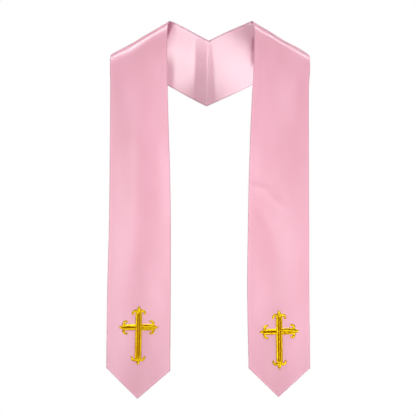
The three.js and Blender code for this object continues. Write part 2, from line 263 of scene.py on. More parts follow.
# The relief of a sheet: its rounded edges, the faint step of the allowance turned in behind them, the puckers
# beside the edges, and the shallow groove and the gathers that the centre-back seam pulls into the satin.
# Turns are in radians a metre.
EDGE_STEPS = np.array([0, 0.00012, 0.0003, 0.0006, 0.001, 0.0015, 0.0025, 0.004, 0.006])
CELL = 0.003
BACK_ROWS, FOLD_ROWS, FRONT_ROWS = 48, 20, 200
EDGE_ROUNDING = 0.0011
SEAM_ROUNDING = 0.006
SEAM_ALLOWANCE = 0.0085
ALLOWANCE_STEP = 0.00025
ALLOWANCE_EASE = 0.0015
SEAM_GAP = 0.00006
PUCKER = {"height": 0.00014, "turns": 520, "drift": 2.5, "drift_turns": 71, "fade": 0.006}
PUCKER_REACH = 0.02
PUCKER_SLANT = 0.7
GATHER = {"height": 0.0003, "turns": 560, "drift": 1.8, "drift_turns": 95, "fade": 0.009}
SLACK_FADE = 0.03


def band_grid(band, inset, lift):
    """Along and across values for a sheet's rows and columns, with fine steps at every edge."""
    tip = band["hem"]["tip_across"]
    low, high = inset + EDGE_STEPS[-1], BAND_WIDTH - inset - EDGE_STEPS[-1]
    across = np.concatenate([
        inset + EDGE_STEPS[:-1],
        np.linspace(low, tip, round((tip - low) / CELL), endpoint=False),
        np.linspace(tip, high, round((high - tip) / CELL) + 1),
        BAND_WIDTH - inset - EDGE_STEPS[-2::-1],
    ])
    cos = math.cos(SHOULDER_SLOPE)
    rise = across * math.tan(SHOULDER_SLOPE)
    seam = solve(lambda v: lifted_point(band, v, across, lift)[..., 0] * band["side"],
                 np.full_like(across, SEAM_GAP / 2), *BACK_SEARCH)
    hem = hem_along(band, across, inset)
    hem_slant = math.cos(math.atan((band["hem"]["tip"] - band["hem"]["inner"]) / tip))
    stations = [
        (seam + EDGE_STEPS[-1], BACK_ROWS),
        (rise - FOLD_BACK_END / cos, FOLD_ROWS),
        (rise + FOLD_FRONT_END / cos, FRONT_ROWS),
        (hem - EDGE_STEPS[-1] / hem_slant, 1),
    ]
    rows = [seam + step for step in EDGE_STEPS[:-1]]
    for (start, count), (end, _) in zip(stations, stations[1:]):
        rows += [start + (end - start) * r / count for r in range(count)]
    rows += [hem - step / hem_slant for step in EDGE_STEPS[::-1]]
    along = np.array(rows)
    across = np.broadcast_to(across, along.shape)
    off_hem = (hem - along) * hem_slant
    off_side = np.minimum(across - inset, BAND_WIDTH - inset - across)
    return along, across, seam, np.minimum(off_hem, off_side), along - seam


# The slack over the stiffening: shallow waves, by their radians a metre across and down, phase and height.
RIPPLE_SEED = 11
RIPPLE_COUNT = 10
waves = np.random.default_rng(RIPPLE_SEED)
RIPPLES = [
    (waves.uniform(25, 110), waves.uniform(4, 22), waves.uniform(0, 6.28), waves.uniform(0.00008, 0.00028))
    for _ in range(RIPPLE_COUNT)
]

# The creases that a hanging band keeps: each runs through a point, turned from plumb towards the outer edge.
CREASE_EASE = 0.03
CREASES = {
    "left": [
        {"depth": 0.190, "across": 0.067, "long": 0.095, "wide": 0.026, "turn": -2, "height": 0.0046},
        {"depth": 0.130, "across": 0.030, "long": 0.045, "wide": 0.018, "turn": 30, "height": -0.0022},
        {"depth": 0.390, "across": 0.070, "long": 0.130, "wide": 0.020, "turn": 2, "height": 0.0028},
        {"depth": 0.500, "across": 0.082, "long": 0.070, "wide": 0.018, "turn": 10, "height": 0.0016},
        {"depth": 0.647, "across": 0.068, "long": 0.040, "wide": 0.024, "turn": 6, "height": 0.0026},
    ],
    "right": [
        {"depth": 0.180, "across": 0.056, "long": 0.090, "wide": 0.026, "turn": 4, "height": -0.0052},
        {"depth": 0.335, "across": 0.020, "long": 0.024, "wide": 0.0075, "turn": 80, "height": 0.0014},
        {"depth": 0.362, "across": 0.054, "long": 0.026, "wide": 0.0085, "turn": 48, "height": 0.0014},
        {"depth": 0.400, "across": 0.030, "long": 0.030, "wide": 0.011, "turn": 30, "height": -0.0014},
        {"depth": 0.450, "across": 0.058, "long": 0.120, "wide": 0.024, "turn": 0, "height": -0.0034},
        {"depth": 0.672, "across": 0.094, "long": 0.036, "wide": 0.012, "turn": -20, "height": -0.0016},
        {"depth": 0.722, "across": 0.106, "long": 0.040, "wide": 0.009, "turn": -46, "height": 0.0030},
    ],
}

# Where the back of each half swells out, or is pressed in, as it nears the shoulder fold.
SWELL_EASE = 0.02
SWELLS = {
    "left": [
        {"x": 0.095, "depth": 0.093, "wide": 0.014, "tall": 0.042, "height": 0.0095},
        {"x": 0.093, "depth": 0.006, "wide": 0.010, "tall": 0.022, "height": -0.006},
    ],
    "right": [
        {"x": 0.062, "depth": 0.000, "wide": 0.035, "tall": 0.020, "height": -0.003},
        {"x": 0.093, "depth": 0.040, "wide": 0.006, "tall": 0.026, "height": -0.0035},
    ],
}


def looseness(half, along, across):
    """How far the satin stands off its plain sheet: small slack over the stiffening, creases and swells."""
    band = BANDS[half]
    height = np.zeros_like(along)
    for wide, down, phase, size in RIPPLES:
        height += size * np.sin(wide * across + down * along * band["side"] + phase)
    x, _, z = np.moveaxis(sheet_point(band, along, across), -1, 0)
    depth = -z
    past_fold = along - across * math.tan(SHOULDER_SLOPE)
    in_front, behind = smoothstep(past_fold, 0, CREASE_EASE), smoothstep(-past_fold, 0, SWELL_EASE)
    for crease in CREASES[half]:
        turn = math.radians(crease["turn"])
        below, off = depth - crease["depth"], across - crease["across"]
        along_it = (below * math.cos(turn) + off * math.sin(turn)) / crease["long"]
        over_it = (off * math.cos(turn) - below * math.sin(turn)) / crease["wide"]
        height += in_front * crease["height"] * np.exp(-(along_it**2) - over_it**2)
    for swell in SWELLS[half]:
        aside = (x * band["side"] - swell["x"]) / swell["wide"]
        below = (depth - swell["depth"]) / swell["tall"]
        height += behind * swell["height"] * np.exp(-(aside**2) - below**2)
    return height


def pull(stitching, run, phase, off):
    """The small waves that a line of stitching pulls into the cloth, dying out away from it."""
    drift = stitching["drift"] * np.sin(run * stitching["drift_turns"] + phase)
    wave = stitching["height"] * np.sin(run * stitching["turns"] + drift)
    return wave * np.exp(-off / stitching["fade"])


def relief(along, across, off_edge, off_seam, thickness, side):
    """How far the shown side of a sheet stands above its hidden side."""
    round_edge = np.sqrt(1 - (1 - np.clip(off_edge / EDGE_ROUNDING, 0, 1)) ** 2)
    round_seam = np.sqrt(1 - (1 - np.clip(off_seam / SEAM_ROUNDING, 0, 1)) ** 2)
    past_allowance = smoothstep(off_edge, SEAM_ALLOWANCE - ALLOWANCE_EASE, SEAM_ALLOWANCE + ALLOWANCE_EASE)
    allowance = ALLOWANCE_STEP * (1 - past_allowance)
    beside_edge = np.where(off_edge < PUCKER_REACH, along + PUCKER_SLANT * across, 0)
    stitched = pull(PUCKER, beside_edge, side, off_edge) + pull(GATHER, across, 1, off_seam)
    return (thickness + allowance + stitched) * round_edge * round_seam


def sheet_mesh(name, half, inset, hidden_lift, thickness, shown, marks=None):
    """A closed thin sheet. shown is 1 for a face, which shows its outer side, and -1 for a lining. marks are
    rules for further attributes, by name."""
    band = BANDS[half]
    along, across, seam, off_edge, off_seam = band_grid(band, inset, hidden_lift)
    slackness = looseness(half, along, across) * np.clip(off_seam / SLACK_FADE, 0, 1)
    height = relief(along, across, off_edge, off_seam, thickness, band["side"])
    hidden = lifted_point(band, along, across, hidden_lift + slackness)
    on_show = lifted_point(band, along, across, hidden_lift + slackness + shown * height)
    for points in (hidden, on_show):
        shift_seam(band, points, along, across, seam)
    rows, columns = along.shape
    index = np.arange(rows * columns).reshape(rows, columns)
    under = index + rows * columns
    under[[0, -1], :] = index[[0, -1], :]
    under[:, [0, -1]] = index[:, [0, -1]]
    faces = []
    for grid, turned in ((index, band["side"] * shown < 0), (under, band["side"] * shown > 0)):
        quads = np.stack([grid[:-1, :-1], grid[1:, :-1], grid[1:, 1:], grid[:-1, 1:]], axis=-1).reshape(-1, 4)
        faces.append(quads[:, ::-1] if turned else quads)
    faces = np.concatenate(faces)
    points = np.concatenate([on_show.reshape(-1, 3), hidden.reshape(-1, 3)]) - NAPE
    places = np.tile(np.stack([across, along], axis=-1).reshape(-1, 2), (2, 1))
    used, faces = np.unique(faces, return_inverse=True)
    faces = faces.reshape(-1, 4)
    mesh = bpy.data.meshes.new(name)
    mesh.from_pydata(points[used].tolist(), [], faces.tolist())
    layer = mesh.uv_layers.new(name="cloth")
    layer.data.foreach_set("uv", places[used][faces.ravel()].ravel())
    attributes = {"from_edge": np.minimum(off_edge, off_seam + SEAM_TONE_START)}
    for mark, rule in (marks or {}).items():
        attributes[mark] = rule(half, along, across)
    for attribute, values in attributes.items():
        values = np.tile(values.ravel(), 2)[used]
        mesh.attributes.new(attribute, "FLOAT", "POINT").data.foreach_set("value", values)
    mesh.shade_smooth()
    piece = bpy.data.objects.new(name, mesh)
    bpy.context.scene.collection.objects.link(piece)
    return piece


# Painted shade and painted sheen beside the pressed edges: the colour is darker where the satin rolls over,
# as if in shade, and lighter a little way in, as if catching a highlight. At the seam the tone starts some
# way in.
EDGE_TONE_REACH = 0.012
SEAM_TONE_START = 0.004
EDGE_SHADE_AND_SHEEN_TONES = [(0.01, 0.77), (0.10, 0.83), (0.24, 1.0), (0.50, 0.93), (0.99, 0.93)]

# The satin's patterns, by their cells a metre across and along the band and their detail.
FLOATS = (4200, 520, 1)
SLUBS = (130, 1500, 2)
CLOUDS = (14, 5, 2)
SLUB_CONTRAST = 0.12
POLISH_SPREAD = 0.05


def satin(name, colour, shade, roughness, tuck_shade=None):
    """Polyester satin: long warp floats down the band, so that light spreads across it and not along it. Its
    colour carries painted shade and painted sheen along the edges. The last argument, when given, adds
    painted shade and a duller finish where the piece's attribute of that name says so."""
    material = bpy.data.materials.new(name)
    material.use_nodes = True
    nodes, links = material.node_tree.nodes, material.node_tree.links
    shader = nodes["Principled BSDF"]
    place = nodes.new("ShaderNodeUVMap")
    place.uv_map = "cloth"

    def grain(across, along, detail):
        stretch = nodes.new("ShaderNodeMapping")
        stretch.inputs["Scale"].default_value = (across, along, 1)
        noise = nodes.new("ShaderNodeTexNoise")
        noise.inputs["Scale"].default_value = 1
        noise.inputs["Detail"].default_value = detail
        links.new(place.outputs["UV"], stretch.inputs["Vector"])
        links.new(stretch.outputs["Vector"], noise.inputs["Vector"])
        return noise.outputs["Fac"]

    floats = grain(*FLOATS)
    slubs = grain(*SLUBS)
    clouds = grain(*CLOUDS)

    tint = nodes.new("ShaderNodeMapRange")
    tint.inputs["From Min"].default_value = 0.3
    tint.inputs["From Max"].default_value = 0.7
    links.new(clouds, tint.inputs["Value"])
    colours = nodes.new("ShaderNodeMix")
    colours.data_type = "RGBA"
    colours.inputs["A"].default_value = (*shade, 1)
    colours.inputs["B"].default_value = (*colour, 1)
    links.new(tint.outputs["Result"], colours.inputs["Factor"])
    threads = nodes.new("ShaderNodeMix")
    threads.data_type = "RGBA"
    threads.blend_type = "SOFT_LIGHT"
    threads.inputs["Factor"].default_value = SLUB_CONTRAST
    links.new(colours.outputs["Result"], threads.inputs["A"])
    links.new(slubs, threads.inputs["B"])
    # Painted shade and painted sheen along the edges: the colour is darker where the satin rolls over, and
    # lighter a little way in than over the rest of the band.
    from_edge = nodes.new("ShaderNodeAttribute")
    from_edge.attribute_name = "from_edge"
    reach = nodes.new("ShaderNodeMapRange")
    reach.inputs["From Max"].default_value = EDGE_TONE_REACH
    edge_shade_and_sheen = nodes.new("ShaderNodeValToRGB")
    for spot, tone in EDGE_SHADE_AND_SHEEN_TONES:
        stop = edge_shade_and_sheen.color_ramp.elements.new(spot)
        stop.color = (tone, tone, tone, 1)
    edge_shade_and_sheen.color_ramp.elements.remove(edge_shade_and_sheen.color_ramp.elements[0])
    edge_shade_and_sheen.color_ramp.elements.remove(edge_shade_and_sheen.color_ramp.elements[-1])
    painted_edge_tone = nodes.new("ShaderNodeMix")
    painted_edge_tone.data_type = "RGBA"
    painted_edge_tone.blend_type = "MULTIPLY"
    painted_edge_tone.inputs["Factor"].default_value = 1
    links.new(from_edge.outputs["Fac"], reach.inputs["Value"])
    links.new(reach.outputs["Result"], edge_shade_and_sheen.inputs["Fac"])
    links.new(threads.outputs["Result"], painted_edge_tone.inputs["A"])
    links.new(edge_shade_and_sheen.outputs["Color"], painted_edge_tone.inputs["B"])

    polish = nodes.new("ShaderNodeMapRange")
    polish.inputs["To Min"].default_value = roughness - POLISH_SPREAD
    polish.inputs["To Max"].default_value = roughness + POLISH_SPREAD
    links.new(clouds, polish.inputs["Value"])

    dye_and_painted_light, dullness = painted_edge_tone.outputs["Result"], polish.outputs["Result"]
    # Painted shade where the lining lies behind its band: the colour is darkened by the attribute's share,
    # and the roughness is raised.
    if tuck_shade:
        how_far = nodes.new("ShaderNodeAttribute")
        how_far.attribute_name = "tuck_shade"
        shaded = nodes.new("ShaderNodeMix")
        shaded.data_type = "RGBA"
        shaded.blend_type = "MULTIPLY"
        shaded.inputs["B"].default_value = (*tuck_shade["shade"], 1)
        links.new(how_far.outputs["Fac"], shaded.inputs["Factor"])
        links.new(dye_and_painted_light, shaded.inputs["A"])
        duller = nodes.new("ShaderNodeMath")
        duller.operation = "MULTIPLY_ADD"
        duller.inputs[1].default_value = tuck_shade["rougher"]
        links.new(how_far.outputs["Fac"], duller.inputs[0])
        links.new(dullness, duller.inputs[2])
        dye_and_painted_light, dullness = shaded.outputs["Result"], duller.outputs["Value"]
    links.new(dye_and_painted_light, shader.inputs["Base Color"])
    links.new(dullness, shader.inputs["Roughness"])

    weave = nodes.new("ShaderNodeBump")
    weave.inputs["Strength"].default_value = 0.35
    weave.inputs["Distance"].default_value = 0.00006
    links.new(floats, weave.inputs["Height"])
    ribs = nodes.new("ShaderNodeBump")
    ribs.inputs["Strength"].default_value = 0.25
    ribs.inputs["Distance"].default_value = 0.00008
    links.new(slubs, ribs.inputs["Height"])
    links.new(weave.outputs["Normal"], ribs.inputs["Normal"])
    links.new(ribs.outputs["Normal"], shader.inputs["Normal"])

    across_band = nodes.new("ShaderNodeTangent")
    across_band.direction_type = "UV_MAP"
    across_band.uv_map = "cloth"
    links.new(across_band.outputs["Tangent"], shader.inputs["Tangent"])
    shader.inputs["Anisotropic"].default_value = 0.85
    shader.inputs["IOR"].default_value = 1.8
    shader.inputs["Specular IOR Level"].default_value = 0.8
    shader.inputs["Sheen Weight"].default_value = 0.1
    shader.inputs["Sheen Roughness"].default_value = 0.4
    return material


face_satin = satin("pink_satin", colour=(0.84, 0.427, 0.537), shade=(0.75, 0.355, 0.449), roughness=0.34)
for half in BANDS:
    face = sheet_mesh(f"{half}_satin_face", half, 0, 0, FACE_THICKNESS, 1)
    face.data.materials.append(face_satin)
    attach(face, "root")
    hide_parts(f"{half}_face")

# The two linings. They are the same satin, cut a little smaller than the faces and sewn in edge to edge, so
# that a thin rim of the face rolls round to the inside. They show in the neck, and as the bands' inner side.
LINING_INSET = 0.0014

# Where each lining is tucked in behind its band, under the fold: strips beside the band's inner edge, by the
# depths where they start and end and by their widths there. The lamps alone leave them lighter than in the
# photograph, so the satin's colour is darkened there as painted shade, and the satin is made duller.
TUCK_EDGE = 0.0885
TUCK_FADE = 0.012
TUCK_SHADES = {
    "left": [
        {"depth": (-0.020, 0.025), "width": (0.0210, 0.0025), "share": 1},
    ],
    "right": [
        {"depth": (-0.020, 0.048), "width": (0.0420, 0.0080), "share": 0.26},
        {"depth": (0.034, 0.078), "width": (0.0034, 0.0022), "share": 0.5},
    ],
}


def painted_tuck_shade_share(half, along, across):
    """How much of the strips' painted shade a place on the lining has, from 0 to 1."""
    band = BANDS[half]
    x, _, z = np.moveaxis(sheet_point(band, along, across), -1, 0)
    behind = along < across * math.tan(SHOULDER_SLOPE)
    share = np.zeros_like(along)
    for tuck in TUCK_SHADES[half]:
        start, end = tuck["depth"]
        width = np.interp(-z, [start, end], tuck["width"])
        aside = 1 - smoothstep(TUCK_EDGE - x * band["side"], 0.5 * width, 1.5 * width)
        between = smoothstep(-z, start - TUCK_FADE, start) * (1 - smoothstep(-z, end, end + TUCK_FADE))
        share += tuck["share"] * behind * aside * between
    return share


# The lining's colour is lighter than the face's, though it is the same satin: painted light that brightens
# the neck.
lining_satin = satin("pink_satin_lining", colour=(0.93, 0.53, 0.64), shade=(0.90, 0.50, 0.60), roughness=0.34,
                     tuck_shade={"shade": (0.43, 0.18, 0.28), "rougher": 0.35})
for half in BANDS:
    lining = sheet_mesh(f"{half}_satin_lining", half, LINING_INSET, -PLY_GAP, LINING_THICKNESS, -1,
                        marks={"tuck_shade": painted_tuck_shade_share})
    lining.data.materials.append(lining_satin)
    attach(lining, "root")
    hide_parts(f"{half}_lining")

# The two crosses. Each is embroidered through the face in gold rayon thread: columns of satin stitch over a
# raised padding, with a leaf and two hooks at the end of every arm. The stitches lie across each column.
CROSS_TOP, CROSS_BOTTOM, CROSS_SIDE = 0.0431, 0.0757, 0.0399
LEAF_BASE = 0.009
ARM_HALF = 0.0064
PADDING_SHARE = 0.8
ARM_PADDING_HEIGHT = 0.0007
ARM_PADDING_HALF = 0.92 * ARM_HALF
PADDING_SIDES = 9
PADDING_SINK = 0.3
THREE_COLUMNS = [
    {"offset": -0.0043, "half": 0.0023, "height": 0.0018, "lean": -0.4},
    {"offset": 0, "half": 0.0012, "height": 0.0012, "lean": 0},
    {"offset": 0.0043, "half": 0.0023, "height": 0.0018, "lean": 0.4},
]
TWO_COLUMNS = [
    {"offset": -0.0033, "half": 0.0033, "height": 0.0018, "lean": -0.3},
    {"offset": 0.0033, "half": 0.0033, "height": 0.0018, "lean": -0.3},
]
ONE_COLUMN = [{"offset": 0, "half": 0.0063, "height": 0.0034, "lean": 0.3}]
SPINE_STEP = 0.001
LEAF_COUNT, HOOK_COUNT = 18, 24
LEAF_ROWS = {
    "back": (0.0135, 0.0110, 0.0075, 0.0035, 0.0012, 0.0004),
    "half": (0.0030, 0.0038, 0.0044, 0.0028, 0.0013, 0.0007),
    "height": (0.0013, 0.0018, 0.0020, 0.0016, 0.0011, 0.0007),
}
HOOK_PATH = {"sideways": (0.0015, 0.0045, 0.0135, 0.0122), "back": (0.0150, 0.0080, 0.0082, 0.0180)}
HOOK_HALF = (0.0031, 0.0019)
HOOK_HEIGHT = (0.0018, 0.0011)
NORMAL_LENGTH = 0.001


def straight(start, end, offset, half, height, lean):
    """A column of satin stitch along an arm, in rows of how far out and sideways it runs, its half width, its
    height and the lean of its crest."""
    count = round(abs(end - start) / SPINE_STEP) + 1
    out = np.linspace(start, end, count)
    return np.stack([out, *np.full((4, count), [[offset], [half], [height], [lean]])], axis=-1)


def leaf(reach):
    """The pointed leaf at the end of an arm, in the same rows."""
    back = np.linspace(LEAF_ROWS["back"][0], LEAF_ROWS["back"][-1], LEAF_COUNT)
    rows = [np.interp(-back, -np.array(LEAF_ROWS["back"]), LEAF_ROWS[key]) for key in ("half", "height")]
    return np.stack([reach - back, np.zeros_like(back), *rows, np.zeros_like(back)], axis=-1)


def hook(reach, side):
    """The hook that curls back beside a leaf, in the same rows."""
    t = np.linspace(0, 1, HOOK_COUNT)
    weights = np.stack([(1 - t) ** 3, 3 * t * (1 - t) ** 2, 3 * t * t * (1 - t), t**3])
    sideways = side * np.array(HOOK_PATH["sideways"]) @ weights
    out = reach - np.array(HOOK_PATH["back"]) @ weights
    half = HOOK_HALF[0] + (HOOK_HALF[1] - HOOK_HALF[0]) * t * t
    height = HOOK_HEIGHT[0] + (HOOK_HEIGHT[1] - HOOK_HEIGHT[0]) * t * t
    return np.stack([out, sideways, half, height, np.zeros_like(t)], axis=-1)


def cross_columns():
    """Every column of a cross and the padding of every arm, on a flat page with x to the right and y up."""
    arms = [
        {"turn": 0, "reach": CROSS_SIDE, "from": ARM_HALF, "columns": TWO_COLUMNS},
        {"turn": 90, "reach": CROSS_TOP, "from": 0, "columns": THREE_COLUMNS},
        {"turn": 180, "reach": CROSS_SIDE, "from": ARM_HALF, "columns": ONE_COLUMN},
        {"turn": 270, "reach": CROSS_BOTTOM, "from": 0.0004, "columns": THREE_COLUMNS},
    ]
    columns, paddings = [], []
    for arm in arms:
        end = arm["reach"] - LEAF_BASE
        sewn = [straight(arm["from"], end, **column) for column in arm["columns"]]
        ends = [leaf(arm["reach"]), hook(arm["reach"], 1), hook(arm["reach"], -1)]
        base = straight(0, end, 0, ARM_PADDING_HALF / PADDING_SHARE, ARM_PADDING_HEIGHT / PADDING_SHARE, 0)
        turn = math.radians(arm["turn"])
        for rows, kept in ((sewn + ends, columns), ([base] + ends, paddings)):
            for out, sideways, *rest in (row.T for row in rows):
                x = out * math.cos(turn) - sideways * math.sin(turn)
                y = out * math.sin(turn) + sideways * math.cos(turn)
                kept.append(np.stack([x, y, *rest], axis=-1))
    return columns, paddings


def on_face(half, x, depth):
    """A point on the face of a hanging band, and the outward normal there."""
    band = BANDS[half]
    inner, outer = read_edge(band, "inner", depth), read_edge(band, "outer", depth)
    across = (x * band["side"] - inner) / (outer - inner) * BAND_WIDTH
    along = solve(lambda v: -sheet_point(band, v, across)[..., 2], depth, *FRONT_SEARCH)
    lift = FACE_THICKNESS + looseness(half, along, across)
    point = lifted_point(band, along, across, lift)
    normal = (lifted_point(band, along, across, lift + NORMAL_LENGTH) - point) / NORMAL_LENGTH
    return point - NAPE, normal


def column_frame(half, column):
    """The points of a column on its band, with the outward and the sideways direction at each."""
    x, y = column.T[:2]
    cross = BANDS[half]["cross"]
    depth = cross["depth"] - y - cross["arm_rise"] * x
    point, normal = on_face(half, cross["x"] + x + cross["lean"] * y, depth)
    ahead = np.gradient(point, axis=0)
    ahead /= np.linalg.norm(ahead, axis=-1, keepdims=True)
    return point, normal, np.cross(normal, ahead)


def padding_mesh(name, half, columns):
    """The padding under the stitches: a closed low dome along each column."""
    points, faces = [], []
    angles = np.linspace(-PADDING_SINK, math.pi + PADDING_SINK, PADDING_SIDES)
    for column in columns:
        point, normal, aside = column_frame(half, column)
        half_width, height = column.T[2:4]
        base = len(points)
        for row in range(len(point)):
            for angle in angles:
                wide = PADDING_SHARE * half_width[row] * math.cos(angle)
                up = PADDING_SHARE * height[row] * math.sin(angle)
                points.append(point[row] + aside[row] * wide + normal[row] * up)
        size, rows = len(angles), len(point)
        for row in range(rows - 1):
            for k in range(size):
                a, b = base + row * size + k, base + row * size + (k + 1) % size
                faces.append((a, a + size, b + size, b))
        faces.append([base + k for k in range(size)])
        faces.append([base + (rows - 1) * size + k for k in reversed(range(size))])
    mesh = bpy.data.meshes.new(name)
    mesh.from_pydata([tuple(p) for p in points], [], faces)
    return mesh


def spine_mesh(name, half, columns):
    """The middle line of each column, with what a stitch there needs to know as attributes."""
    points, edges, normals = [], [], []
    numbers = {"half_width": [], "rise": [], "crest_lean": []}
    for column in columns:
        point, normal, _ = column_frame(half, column)
        edges += [(len(points) + i, len(points) + i + 1) for i in range(len(point) - 1)]
        points += [tuple(p) for p in point]
        normals.append(normal)
        for kept, values in zip(numbers.values(), column.T[2:]):
            kept.append(values)
    mesh = bpy.data.meshes.new(name)
    mesh.from_pydata(points, edges, [])
    mesh.attributes.new("face_normal", "FLOAT_VECTOR", "POINT").data.foreach_set(
        "vector", np.concatenate(normals).ravel())
    for attribute, kept in numbers.items():
        mesh.attributes.new(attribute, "FLOAT", "POINT").data.foreach_set("value", np.concatenate(kept))
    return mesh


gold_thread = bpy.data.materials.new("gold_thread")
gold_thread.use_nodes = True
gold_nodes, gold_link = gold_thread.node_tree.nodes, gold_thread.node_tree.links.new
gold_shader = gold_nodes["Principled BSDF"]
gold_place = gold_nodes.new("ShaderNodeTexCoord")
gold_noise = gold_nodes.new("ShaderNodeTexNoise")
gold_noise.inputs["Scale"].default_value = 900
gold_noise.inputs["Detail"].default_value = 2
gold_ramp = gold_nodes.new("ShaderNodeValToRGB")
gold_ramp.color_ramp.elements[0].position = 0.3
gold_ramp.color_ramp.elements[0].color = (0.34, 0.054, 0.0009, 1)
gold_ramp.color_ramp.elements[1].position = 0.7
gold_ramp.color_ramp.elements[1].color = (0.47, 0.096, 0.0016, 1)
gold_bump = gold_nodes.new("ShaderNodeBump")
gold_bump.inputs["Strength"].default_value = 0.3
gold_bump.inputs["Distance"].default_value = 0.0001
gold_link(gold_place.outputs["Object"], gold_noise.inputs["Vector"])
gold_link(gold_noise.outputs["Fac"], gold_ramp.inputs["Fac"])
gold_link(gold_ramp.outputs["Color"], gold_shader.inputs["Base Color"])
gold_link(gold_noise.outputs["Fac"], gold_bump.inputs["Height"])
gold_link(gold_bump.outputs["Normal"], gold_shader.inputs["Normal"])
gold_shader.inputs["IOR"].default_value = 3.5
gold_shader.inputs["Roughness"].default_value = 0.13
gold_shader.inputs["Specular IOR Level"].default_value = 1.0
gold_shader.inputs["Specular Tint"].default_value = (1, 0.80, 0.018, 1)

# The rule for the stitches: one arched thread at each step along a column, as wide and as high as the column
# is there, slanted a little at random and sheared so that its crest leans.
stitch_tree = bpy.data.node_groups.new("satin_stitch", "GeometryNodeTree")
for socket, kind, flow in (
    ("Geometry", "NodeSocketGeometry", "INPUT"),
    ("Spacing", "NodeSocketFloat", "INPUT"),
    ("Thread Radius", "NodeSocketFloat", "INPUT"),
    ("Slant", "NodeSocketFloat", "INPUT"),
    ("Unevenness", "NodeSocketFloat", "INPUT"),
    ("Seed", "NodeSocketInt", "INPUT"),
    ("Geometry", "NodeSocketGeometry", "OUTPUT"),
):
    stitch_tree.interface.new_socket(socket, in_out=flow, socket_type=kind)
stitch_link = stitch_tree.links.new
MEAN_SLANT = 0.10


def stitch_node(kind, **settings):
    node = stitch_tree.nodes.new(kind)
    for key, value in settings.items():
        setattr(node, key, value)
    return node


def read_attribute(name, kind):
    node = stitch_node("GeometryNodeInputNamedAttribute", data_type=kind)
    node.inputs["Name"].default_value = name
    return node.outputs["Attribute"]


def random_about(middle, spread, offset):
    """A random number between middle - spread and middle + spread for each stitch."""
    ends = []
    for operation in ("SUBTRACT", "ADD"):
        end = stitch_node("ShaderNodeMath", operation=operation)
        end.inputs[0].default_value = middle
        stitch_link(spread, end.inputs[1])
        ends.append(end.outputs[0])
    seed = stitch_node("ShaderNodeMath", operation="ADD")
    stitch_link(rule_in.outputs["Seed"], seed.inputs[0])
    seed.inputs[1].default_value = offset
    number = stitch_node("FunctionNodeRandomValue", data_type="FLOAT")
    by_name = {socket.identifier: socket for socket in number.inputs}
    stitch_link(ends[0], by_name["Min_001"])
    stitch_link(ends[1], by_name["Max_001"])
    stitch_link(seed.outputs[0], number.inputs["Seed"])
    return number.outputs[1]


def times(first, second):
    """The product of two numbers of the rule."""
    node = stitch_node("ShaderNodeMath", operation="MULTIPLY")
    stitch_link(first, node.inputs[0])
    stitch_link(second, node.inputs[1])
    return node.outputs[0]


rule_in = stitch_node("NodeGroupInput")
rule_out = stitch_node("NodeGroupOutput")
to_curve = stitch_node("GeometryNodeMeshToCurve")
steps = stitch_node("GeometryNodeResampleCurve", mode="LENGTH")
arch = stitch_node("GeometryNodeCurveQuadraticBezier")
arch.inputs["Resolution"].default_value = 8
for handle, place in (("Start", (0, -1, -0.15)), ("Middle", (0, 0, 2.15)), ("End", (0, 1, -0.15))):
    arch.inputs[handle].default_value = place
stitches = stitch_node("GeometryNodeInstanceOnPoints")
facing = stitch_node("FunctionNodeAxesToRotation", primary_axis="Z", secondary_axis="X")
tangent = stitch_node("GeometryNodeInputTangent")
slanted = stitch_node("FunctionNodeRotateRotation", rotation_space="LOCAL")
slant = stitch_node("FunctionNodeAxisAngleToRotation")
slant.inputs["Axis"].default_value = (0, 0, 1)
size = stitch_node("ShaderNodeCombineXYZ")
size.inputs["X"].default_value = 1
placed = stitch_node("GeometryNodeInstanceTransform")
sheared = stitch_node("FunctionNodeMatrixMultiply")
shear = stitch_node("FunctionNodeCombineMatrix")
leaning = stitch_node("GeometryNodeSetInstanceTransform")
laid = stitch_node("GeometryNodeRealizeInstances")
thread = stitch_node("GeometryNodeCurveToMesh")
thread.inputs["Fill Caps"].default_value = True
section = stitch_node("GeometryNodeCurvePrimitiveCircle", mode="RADIUS")
section.inputs["Resolution"].default_value = 5
smooth = stitch_node("GeometryNodeSetShadeSmooth")
whole = stitch_node("GeometryNodeRealizeInstances")
dyed = stitch_node("GeometryNodeSetMaterial")
dyed.inputs["Material"].default_value = gold_thread

stitch_link(rule_in.outputs["Geometry"], to_curve.inputs["Mesh"])
stitch_link(to_curve.outputs["Curve"], steps.inputs["Curve"])
stitch_link(rule_in.outputs["Spacing"], steps.inputs["Length"])
stitch_link(steps.outputs["Curve"], stitches.inputs["Points"])
stitch_link(arch.outputs["Curve"], stitches.inputs["Instance"])
stitch_link(read_attribute("face_normal", "FLOAT_VECTOR"), facing.inputs["Primary Axis"])
stitch_link(tangent.outputs["Tangent"], facing.inputs["Secondary Axis"])
stitch_link(random_about(MEAN_SLANT, rule_in.outputs["Slant"], 1), slant.inputs["Angle"])
stitch_link(facing.outputs["Rotation"], slanted.inputs["Rotation"])
stitch_link(slant.outputs["Rotation"], slanted.inputs["Rotate By"])
stitch_link(slanted.outputs["Rotation"], stitches.inputs["Rotation"])
stitch_link(times(read_attribute("half_width", "FLOAT"), random_about(1, rule_in.outputs["Unevenness"], 2)),
            size.inputs["Y"])
stitch_link(times(read_attribute("rise", "FLOAT"), random_about(1, rule_in.outputs["Unevenness"], 3)),
            size.inputs["Z"])
stitch_link(size.outputs["Vector"], stitches.inputs["Scale"])
stitch_link(read_attribute("crest_lean", "FLOAT"), shear.inputs["Column 3 Row 2"])
stitch_link(placed.outputs["Transform"], sheared.inputs[0])
stitch_link(shear.outputs["Matrix"], sheared.inputs[1])
stitch_link(sheared.outputs["Matrix"], leaning.inputs["Transform"])
stitch_link(stitches.outputs["Instances"], leaning.inputs["Instances"])
stitch_link(leaning.outputs["Instances"], laid.inputs["Geometry"])
stitch_link(laid.outputs["Geometry"], thread.inputs["Curve"])
